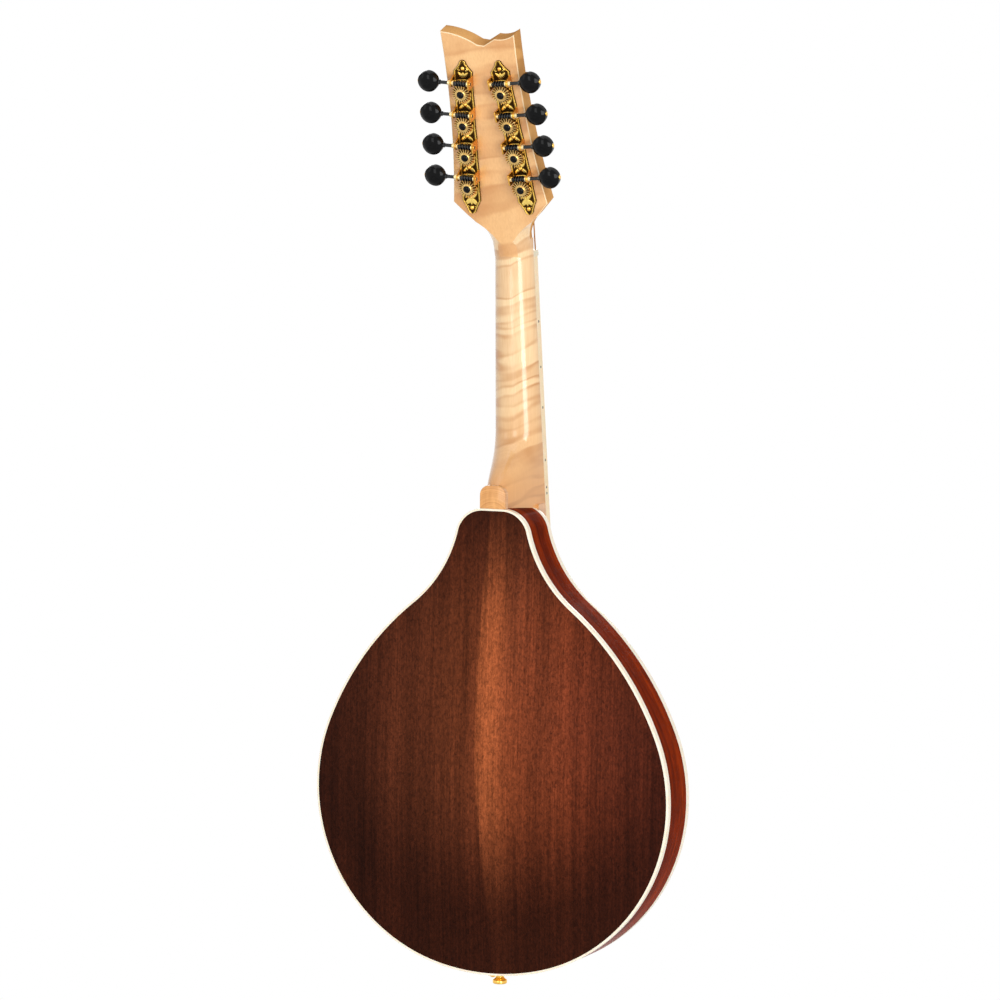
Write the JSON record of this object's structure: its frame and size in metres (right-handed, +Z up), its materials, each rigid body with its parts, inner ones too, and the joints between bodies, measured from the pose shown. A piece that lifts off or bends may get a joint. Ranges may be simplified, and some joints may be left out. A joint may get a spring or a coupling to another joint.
{
  "type": "a-style mandolin",
  "caption": "Teardrop-bodied mandolin with arched plates, bolt-free set neck, worm-geared tuners, floating adjustable bridge and tailpiece.",
  "frame": {"origin": "centreline of the neck, where the fretboard surface meets the nut; a hanger's yoke closes round the neck here", "axes": "+Z up the instrument towards the headstock, -Y out of the strings, +Y out of the back, +X towards the treble side"},
  "size_m": [0.2728, 0.1147, 0.6899],
  "materials": {
    "back_wood": "gloss stained mahogany",
    "rib_wood": "gloss stained mahogany",
    "top_wood": "gloss stained spruce",
    "binding": "gloss cream",
    "inner_wood": "bare",
    "brace_wood": "bare spruce",
    "rosette_inlay": "gloss inlay rings",
    "neck_wood": "gloss flamed maple",
    "rod_steel": "plain",
    "board_wood": "oiled rosewood",
    "fret_wire": "polished",
    "dots": "pearl, black on the edge",
    "bone": "satin",
    "bridge_wood": "oiled ebony",
    "gold": "gold plate",
    "antique_gold": "engraved antique gold plate",
    "gear_brass": "brass",
    "post_metal": "gold plate",
    "key_black": "gloss black",
    "plain_string": "plain steel",
    "wound_string": "bronze wound"
  },
  "bodies": {
    "body": {"back_plate": "back_wood", "rib_sides": "rib_wood", "top_plate": "top_wood", "back_binding": "binding", "top_binding": "binding", "neck_block": "inner_wood", "tail_block": "inner_wood", "linings": "inner_wood", "braces": "brace_wood", "rosette": "rosette_inlay", "neck": "neck_wood", "truss_rod": "rod_steel", "fretboard": "board_wood", "fretboard_binding": "binding", "frets": "fret_wire", "position_dots": "dots", "nut": "bone", "bridge_base": "bridge_wood", "bridge_studs": "gold", "tailpiece": "gold", "tail_screws": "gold", "strap_button": "gold", "bass_tuner_plate": "antique_gold", "treble_tuner_plate": "antique_gold", "tuner_screws": "antique_gold", "post_bushings": "gold", "g_strings": "wound_string", "d_strings": "wound_string", "a_strings": "plain_string", "e_strings": "plain_string"},
    "bass_thumbwheel": {"bass_thumbwheel": "gold"},
    "bridge_saddle": {"bridge_saddle": "bridge_wood"},
    "tailpiece_cover": {"tailpiece_cover": "gold"},
    "treble_thumbwheel": {"treble_thumbwheel": "gold"},
    "bass_key_1": {"bass_key_1": "key_black"},
    "bass_post_1": {"bass_gear_1": "gear_brass", "bass_post_1": "post_metal"},
    "bass_key_2": {"bass_key_2": "key_black"},
    "bass_post_2": {"bass_gear_2": "gear_brass", "bass_post_2": "post_metal"},
    "bass_key_3": {"bass_key_3": "key_black"},
    "bass_post_3": {"bass_gear_3": "gear_brass", "bass_post_3": "post_metal"},
    "bass_key_4": {"bass_key_4": "key_black"},
    "bass_post_4": {"bass_gear_4": "gear_brass", "bass_post_4": "post_metal"},
    "treble_key_1": {"treble_key_1": "key_black"},
    "treble_post_1": {"treble_gear_1": "gear_brass", "treble_post_1": "post_metal"},
    "treble_key_2": {"treble_key_2": "key_black"},
    "treble_post_2": {"treble_gear_2": "gear_brass", "treble_post_2": "post_metal"},
    "treble_key_3": {"treble_key_3": "key_black"},
    "treble_post_3": {"treble_gear_3": "gear_brass", "treble_post_3": "post_metal"},
    "treble_key_4": {"treble_key_4": "key_black"},
    "treble_post_4": {"treble_gear_4": "gear_brass", "treble_post_4": "post_metal"}
  },
  "joints": [
    {"name": "bass_key_1_turn", "type": "hinge", "parent": "body", "child": "bass_key_1", "pos_m": [-0.01466, 0.07501, 0.12334], "axis": [-0.9973, 0.0259, 0.0685], "continuous": true},
    {"name": "bass_post_1_turn", "type": "hinge", "parent": "body", "child": "bass_post_1", "pos_m": [-0.01526, 0.07211, 0.11569], "axis": [0, 0.9351, -0.3543], "continuous": true},
    {"name": "bass_key_2_turn", "type": "hinge", "parent": "body", "child": "bass_key_2", "pos_m": [-0.01642, 0.06653, 0.10095], "axis": [-0.9973, 0.0259, 0.0685], "continuous": true},
    {"name": "bass_post_2_turn", "type": "hinge", "parent": "body", "child": "bass_post_2", "pos_m": [-0.01702, 0.06363, 0.09331], "axis": [0, 0.9351, -0.3543], "continuous": true},
    {"name": "bass_key_3_turn", "type": "hinge", "parent": "body", "child": "bass_key_3", "pos_m": [-0.01818, 0.05805, 0.07857], "axis": [-0.9973, 0.0259, 0.0685], "continuous": true},
    {"name": "bass_post_3_turn", "type": "hinge", "parent": "body", "child": "bass_post_3", "pos_m": [-0.01878, 0.05515, 0.07092], "axis": [0, 0.9351, -0.3543], "continuous": true},
    {"name": "bass_key_4_turn", "type": "hinge", "parent": "body", "child": "bass_key_4", "pos_m": [-0.01994, 0.04957, 0.05619], "axis": [-0.9973, 0.0259, 0.0685], "continuous": true},
    {"name": "bass_post_4_turn", "type": "hinge", "parent": "body", "child": "bass_post_4", "pos_m": [-0.02054, 0.04667, 0.04854], "axis": [0, 0.9351, -0.3543], "continuous": true},
    {"name": "treble_key_1_turn", "type": "hinge", "parent": "body", "child": "treble_key_1", "pos_m": [0.01466, 0.07501, 0.12334], "axis": [0.9973, 0.0259, 0.0685], "continuous": true},
    {"name": "treble_post_1_turn", "type": "hinge", "parent": "body", "child": "treble_post_1", "pos_m": [0.01526, 0.07211, 0.11569], "axis": [0, 0.9351, -0.3543], "continuous": true},
    {"name": "treble_key_2_turn", "type": "hinge", "parent": "body", "child": "treble_key_2", "pos_m": [0.01642, 0.06653, 0.10095], "axis": [0.9973, 0.0259, 0.0685], "continuous": true},
    {"name": "treble_post_2_turn", "type": "hinge", "parent": "body", "child": "treble_post_2", "pos_m": [0.01702, 0.06363, 0.09331], "axis": [0, 0.9351, -0.3543], "continuous": true},
    {"name": "treble_key_3_turn", "type": "hinge", "parent": "body", "child": "treble_key_3", "pos_m": [0.01818, 0.05805, 0.07857], "axis": [0.9973, 0.0259, 0.0685], "continuous": true},
    {"name": "treble_post_3_turn", "type": "hinge", "parent": "body", "child": "treble_post_3", "pos_m": [0.01878, 0.05515, 0.07092], "axis": [0, 0.9351, -0.3543], "continuous": true},
    {"name": "treble_key_4_turn", "type": "hinge", "parent": "body", "child": "treble_key_4", "pos_m": [0.01994, 0.04957, 0.05619], "axis": [0.9973, 0.0259, 0.0685], "continuous": true},
    {"name": "treble_post_4_turn", "type": "hinge", "parent": "body", "child": "treble_post_4", "pos_m": [0.02054, 0.04667, 0.04854], "axis": [0, 0.9351, -0.3543], "continuous": true},
    {"name": "bass_thumbwheel_turn", "type": "hinge", "parent": "bridge_saddle", "child": "bass_thumbwheel", "pos_m": [-0.0365, -0.02229, -0.34872], "axis": [0, -1, 0], "range_deg": [-360, 720]},
    {"name": "treble_thumbwheel_turn", "type": "hinge", "parent": "bridge_saddle", "child": "treble_thumbwheel", "pos_m": [0.0365, -0.02229, -0.34872], "axis": [0, -1, 0], "range_deg": [-360, 720]},
    {"name": "saddle_lift", "type": "slide", "parent": "body", "child": "bridge_saddle", "axis": [0, -1, 0], "range_m": [-0.0007, 0.0014], "deforming": ["g_strings", "d_strings", "a_strings", "e_strings"]},
    {"name": "cover_slide", "type": "slide", "parent": "body", "child": "tailpiece_cover", "axis": [0, -0.165, 0.9863], "range_m": [0, 0.008]}
  ],
  "couplings": [
    {"joint": "bass_post_1_turn", "follows": "bass_key_1_turn", "ratio": -0.05},
    {"joint": "bass_post_2_turn", "follows": "bass_key_2_turn", "ratio": -0.05},
    {"joint": "bass_post_3_turn", "follows": "bass_key_3_turn", "ratio": -0.05},
    {"joint": "bass_post_4_turn", "follows": "bass_key_4_turn", "ratio": -0.05},
    {"joint": "treble_post_1_turn", "follows": "treble_key_1_turn", "ratio": -0.05},
    {"joint": "treble_post_2_turn", "follows": "treble_key_2_turn", "ratio": -0.05},
    {"joint": "treble_post_3_turn", "follows": "treble_key_3_turn", "ratio": -0.05},
    {"joint": "treble_post_4_turn", "follows": "treble_key_4_turn", "ratio": -0.05},
    {"joint": "bass_thumbwheel_turn", "follows": "saddle_lift", "rad_per_m": 8976},
    {"joint": "treble_thumbwheel_turn", "follows": "saddle_lift", "rad_per_m": 8976}
  ]
}
